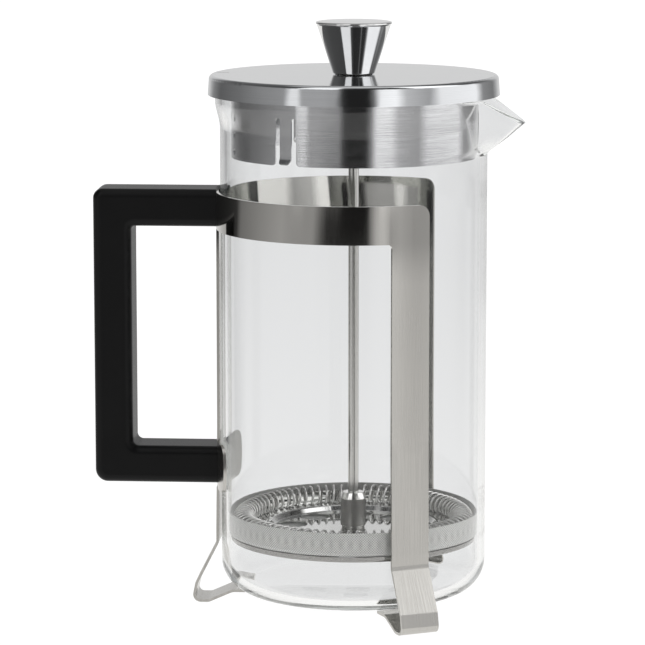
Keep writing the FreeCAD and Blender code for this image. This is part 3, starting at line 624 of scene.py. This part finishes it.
def meshFinish(name):
    look = meshLook
    mat, tree, shader = newFinish(name, {"Metallic": look["metallic"]})
    weave = useGroup(tree, wovenWire, {})
    # painted light and shade: the coil behind is painted into the mesh's colour as faint bright and dark
    # loops, strongest halfway up
    x, y, z = split(tree, objectSpace(tree))
    turns = maths(tree, "MULTIPLY", maths(tree, "ARCTAN2", y, x), coilSizes["turns"])
    loops = maths(tree, "COSINE", turns)
    above = maths(tree, "SUBTRACT", z, look["loopHeight"] * mm)
    off = maths(tree, "MULTIPLY", above, look["loopFade"] / mm)
    level = maths(tree, "SUBTRACT", 1.0, maths(tree, "ABSOLUTE", off))
    shade = maths(tree, "MULTIPLY", maths(tree, "MULTIPLY", loops, maths(tree, "MAXIMUM", level, 0.0)),
                  look["loopShade"])
    tone = maths(tree, "MINIMUM", maths(tree, "ADD", weave["Wire"], shade), 1.0)
    feed(tree, shader.inputs["Base Color"], toned(tree, tone, look["color"]))
    feed(tree, shader.inputs["Roughness"],
         remap(tree, weave["Wire"], weaveSizes["gapShade"], 1.0, look["roughGap"], look["roughWire"]))
    bumped(tree, shader, weave["Height"], look["bump"], bumpDepth["weave"])
    return mat


def makeKnob():
    s = knobSizes
    profile = [(0, s["bottom"], 0), (s["neck"], s["bottom"], 0.5), (s["cone"], s["coneTop"], 0.4),
               (s["rim"], s["rimLow"], 0.3), (s["rim"], s["rimHigh"], 0.35), (s["roll"], s["rollTop"], 0.6),
               (0, s["top"], 0)]
    addPiece("knobBody", lathe(softCorners(profile), s["segments"]), "knobChrome", "plunger",
             "knob", sharp=50)


def makeRod():
    s = rodSizes
    profile = [(0, s["bottom"]), (s["radius"], s["bottom"]), (s["radius"], s["top"]), (0, s["top"])]
    addPiece("rodShaft", lathe(profile, s["segments"]), "rodSteel", "plunger", "rod")


def makeHub():
    s = hubSizes
    profile = [(0, s["studBottom"], 0), (s["stud"], s["studBottom"], 0.3), (s["stud"], s["seatBottom"], 0),
               (s["seat"], s["seatBottom"], 0.1), (s["seat"], s["seatTop"], 0.1),
               (s["body"], s["bodyBottom"], 0.2), (s["body"], s["bodyTop"], 0.15),
               (s["chamferTop"], s["top"], 0.2), (s["bore"], s["top"], 0),
               (s["bore"], s["boreBottom"], 0), (0, s["boreBottom"], 0)]
    addPiece("hubFerrule", lathe(softCorners(profile, s["steps"]), s["segments"]), "hubSteel", "plunger",
             "hub")


def makeMeshCup():
    s = cupSizes
    profile = [(s["hole"], s["floor"], 0), (s["inside"], s["floor"], s["innerFillet"]),
               (s["inside"], s["top"], 0), (s["outside"], s["top"], 0),
               (s["outside"], s["bottom"], s["outerFillet"]), (s["hole"], s["bottom"], 0)]
    addPiece("meshCup", lathe(softCorners(profile, closed=True), s["segments"], closed=True), "meshSteel",
             "plunger", "mesh_screen")


def coilCentre(a):
    s = coilSizes
    w = a * s["turns"]
    r = s["ringRadius"] + s["radius"] * math.cos(w)
    return Vector((r * math.cos(a), r * math.sin(a), s["height"] + s["radius"] * math.sin(w)))


def makeCoil():
    # round wire along the coil, which stops two steps short of closing
    s = coilSizes
    count = s["turns"] * s["steps"]
    verts = []
    rows = []
    for i in range(count - 2):
        a = 2 * math.pi * i / count
        here = coilCentre(a)
        ahead = (coilCentre(a + 1e-4) - here).normalized()
        out = here - Vector((s["ringRadius"] * math.cos(a), s["ringRadius"] * math.sin(a), s["height"]))
        out = (out - ahead * out.dot(ahead)).normalized()
        side = ahead.cross(out)
        rows.append(list(range(len(verts), len(verts) + s["sides"])))
        for k in range(s["sides"]):
            b = 2 * math.pi * k / s["sides"]
            verts.append(tuple(here + (out * math.cos(b) + side * math.sin(b)) * s["wire"]))
    faces = [face for low, high in zip(rows, rows[1:]) for face in bridge(low, high)]
    faces += [rows[0][::-1], rows[-1]]
    addPiece("filterCoil", (verts, faces), "springWire", "plunger", "coil_spring", sharp=80)


finishes["meshSteel"] = meshFinish("meshSteel")
makeKnob()
makeRod()
makeHub()
makeMeshCup()
makeCoil()
dress("spring_plate", "plateSteel", bevel=0.08)
dress("cross_plate", "crossSteel", bevel=0.08)
dress("mesh_eyelet", "fixingSteel")
dress("cross_boss", "hubSteel", bevel=0.1)
print("plunger ready")


# floor, light and camera: metres and degrees

studio = {"cameraTurn": 3.3, "distance": 1.27102, "cameraHeight": 0.30648, "yaw": 0.526, "pitch": 8.915,
          "lens": 190.45, "sensor": 36, "nearest": 0.01, "farthest": 50}
floorLook = {"size": 14.0, "color": (0.12, 0.12, 0.12, 1), "glow": (1, 1, 1, 1), "glowStrength": 0.96,
             "roughness": 0.7}
# light round the object: degrees round from the camera, brightness
horizonBoxes = [(-180, 0.72), (-160, 0.7), (-145, 0.3), (-130, 0.15), (-100, 0.22), (-75, 0.34), (-56, 0.4),
                (-51, 1.1), (-45, 1.1), (-41, 0.5), (-24, 0.5), (-14, 0.45), (-9, 0.05), (-5, 0.02),
                (11, 0.02), (16, 0.2), (21, 1.3), (33, 1.4), (42, 0.7), (62, 0.5), (72, 1.2), (112, 1.3),
                (122, 0.35), (142, 0.25), (160, 0.7), (180, 0.72)]
lowBoxes = [(-180, 0.8), (-150, 0.75), (-134, 0.5), (-124, 0.02), (-115, 0.02), (-108, 0.22), (-87, 0.33),
            (-62, 0.46), (-50, 0.38), (-34, 0.38), (-27, 0.12), (-22, 0.01), (8, 0.01), (12, 0.04),
            (17, 0.66), (26, 0.72), (31, 0.42), (39, 0.52), (50, 0.42), (70, 0.45), (110, 0.6),
            (150, 0.75), (180, 0.8)]
highBoxes = [(-180, 0.3), (-120, 0.12), (-60, 0.1), (-50, 0.1), (-47, 1.5), (-15, 1.5), (-11, 0.1), (0, 0.04),
             (26, 0.05), (29, 0.3), (32, 0.05), (44, 0.05), (50, 0.3), (56, 1.8), (98, 1.8), (106, 0.15),
             (130, 0.1), (180, 0.3)]
# where each light takes over, by the upward part of the ray's direction
roomLook = {"lowFrom": -0.112, "lowTo": -0.119, "highFrom": 0.28, "highTo": 0.5, "ceilingFrom": 0.86,
            "ceilingTo": 0.95, "ceiling": (0.7, 0.7, 0.7, 1), "tableFrom": -0.134, "tableTo": -0.212,
            "tableShare": 0.92, "table": (1.0, 0.995, 0.98, 1), "throughShare": 0.85,
            "through": (0.8, 0.805, 0.81, 1), "backdrop": (1.0, 1.0, 1.0, 1)}


def makeFloor():
    look = floorLook
    half = look["size"] / 2
    mesh = bpy.data.meshes.new("floor")
    corners = [(-half, -half, 0), (half, -half, 0), (half, half, 0), (-half, half, 0)]
    mesh.from_pydata(corners, [], [(0, 1, 2, 3)])
    floor = bpy.data.objects.new("floor", mesh)
    bpy.context.scene.collection.objects.link(floor)
    mat, _, _ = newFinish("paleFloor", {"Roughness": look["roughness"], "Base Color": look["color"],
                                        "Emission Color": look["glow"],
                                        "Emission Strength": look["glowStrength"]})
    mesh.materials.append(mat)
    floor.visible_glossy = False
    floor.visible_transmission = False


def boxRamp(tree, place, boxes):
    node = tree.nodes.new("ShaderNodeValToRGB")
    tree.links.new(place, node.inputs[0])
    marks = node.color_ramp.elements
    marks.remove(marks[-1])
    for i, (degrees, value) in enumerate(boxes):
        position = (degrees + 180) / 360
        mark = marks.new(position) if i else marks[0]
        mark.position = position
        mark.color = (value, value, value, 1)
    return node.outputs[0]


def makeWorld():
    # soft boxes round a white room, dark behind the camera
    look = roomLook
    world = bpy.data.worlds.new("studio")
    bpy.context.scene.world = world
    world.use_nodes = True
    tree = world.node_tree
    x, y, z = split(tree, tree.nodes.new("ShaderNodeTexCoord").outputs["Generated"])
    turn = math.radians(studio["cameraTurn"])
    side = maths(tree, "ADD", maths(tree, "MULTIPLY", x, math.cos(turn)),
                 maths(tree, "MULTIPLY", y, math.sin(turn)))
    away = maths(tree, "SUBTRACT", maths(tree, "MULTIPLY", y, math.cos(turn)),
                 maths(tree, "MULTIPLY", x, math.sin(turn)))
    angle = maths(tree, "ARCTAN2", side, maths(tree, "MULTIPLY", away, -1.0))
    place = remap(tree, angle, -math.pi, math.pi)
    room = blendColor(tree, remap(tree, z, look["lowFrom"], look["lowTo"]),
                      boxRamp(tree, place, horizonBoxes), boxRamp(tree, place, lowBoxes))
    room = blendColor(tree, remap(tree, z, look["highFrom"], look["highTo"]), room,
                      boxRamp(tree, place, highBoxes))
    room = blendColor(tree, remap(tree, z, look["ceilingFrom"], look["ceilingTo"]), room, look["ceiling"])
    lit = remap(tree, z, look["tableFrom"], look["tableTo"], 0.0, look["tableShare"])
    room = blendColor(tree, lit, room, look["table"])
    path = tree.nodes.new("ShaderNodeLightPath").outputs
    turned = maths(tree, "ADD", path["Glossy Depth"], path["Diffuse Depth"])
    straight = maths(tree, "LESS_THAN", turned, 0.5)  # seen through glass, without a reflection
    room = blendColor(tree, maths(tree, "MULTIPLY", straight, look["throughShare"]), room, look["through"])
    room = blendColor(tree, path["Is Camera Ray"], room, look["backdrop"])
    feed(tree, tree.nodes["Background"].inputs["Color"], room)


def makeCamera():
    s = studio
    turn = math.radians(s["cameraTurn"])
    data = bpy.data.cameras.new("camera")
    data.lens = s["lens"]
    data.sensor_width = s["sensor"]
    data.clip_start = s["nearest"]
    data.clip_end = s["farthest"]
    camera = bpy.data.objects.new("camera", data)
    bpy.context.scene.collection.objects.link(camera)
    camera.location = (s["distance"] * math.sin(turn), -s["distance"] * math.cos(turn), s["cameraHeight"])
    camera.rotation_euler = (math.radians(90 - s["pitch"]), 0, math.radians(s["yaw"] + s["cameraTurn"]))
    bpy.context.scene.camera = camera


makeFloor()
makeWorld()
makeCamera()
bpy.context.scene.view_settings.view_transform = "Standard"
print("studio ready")
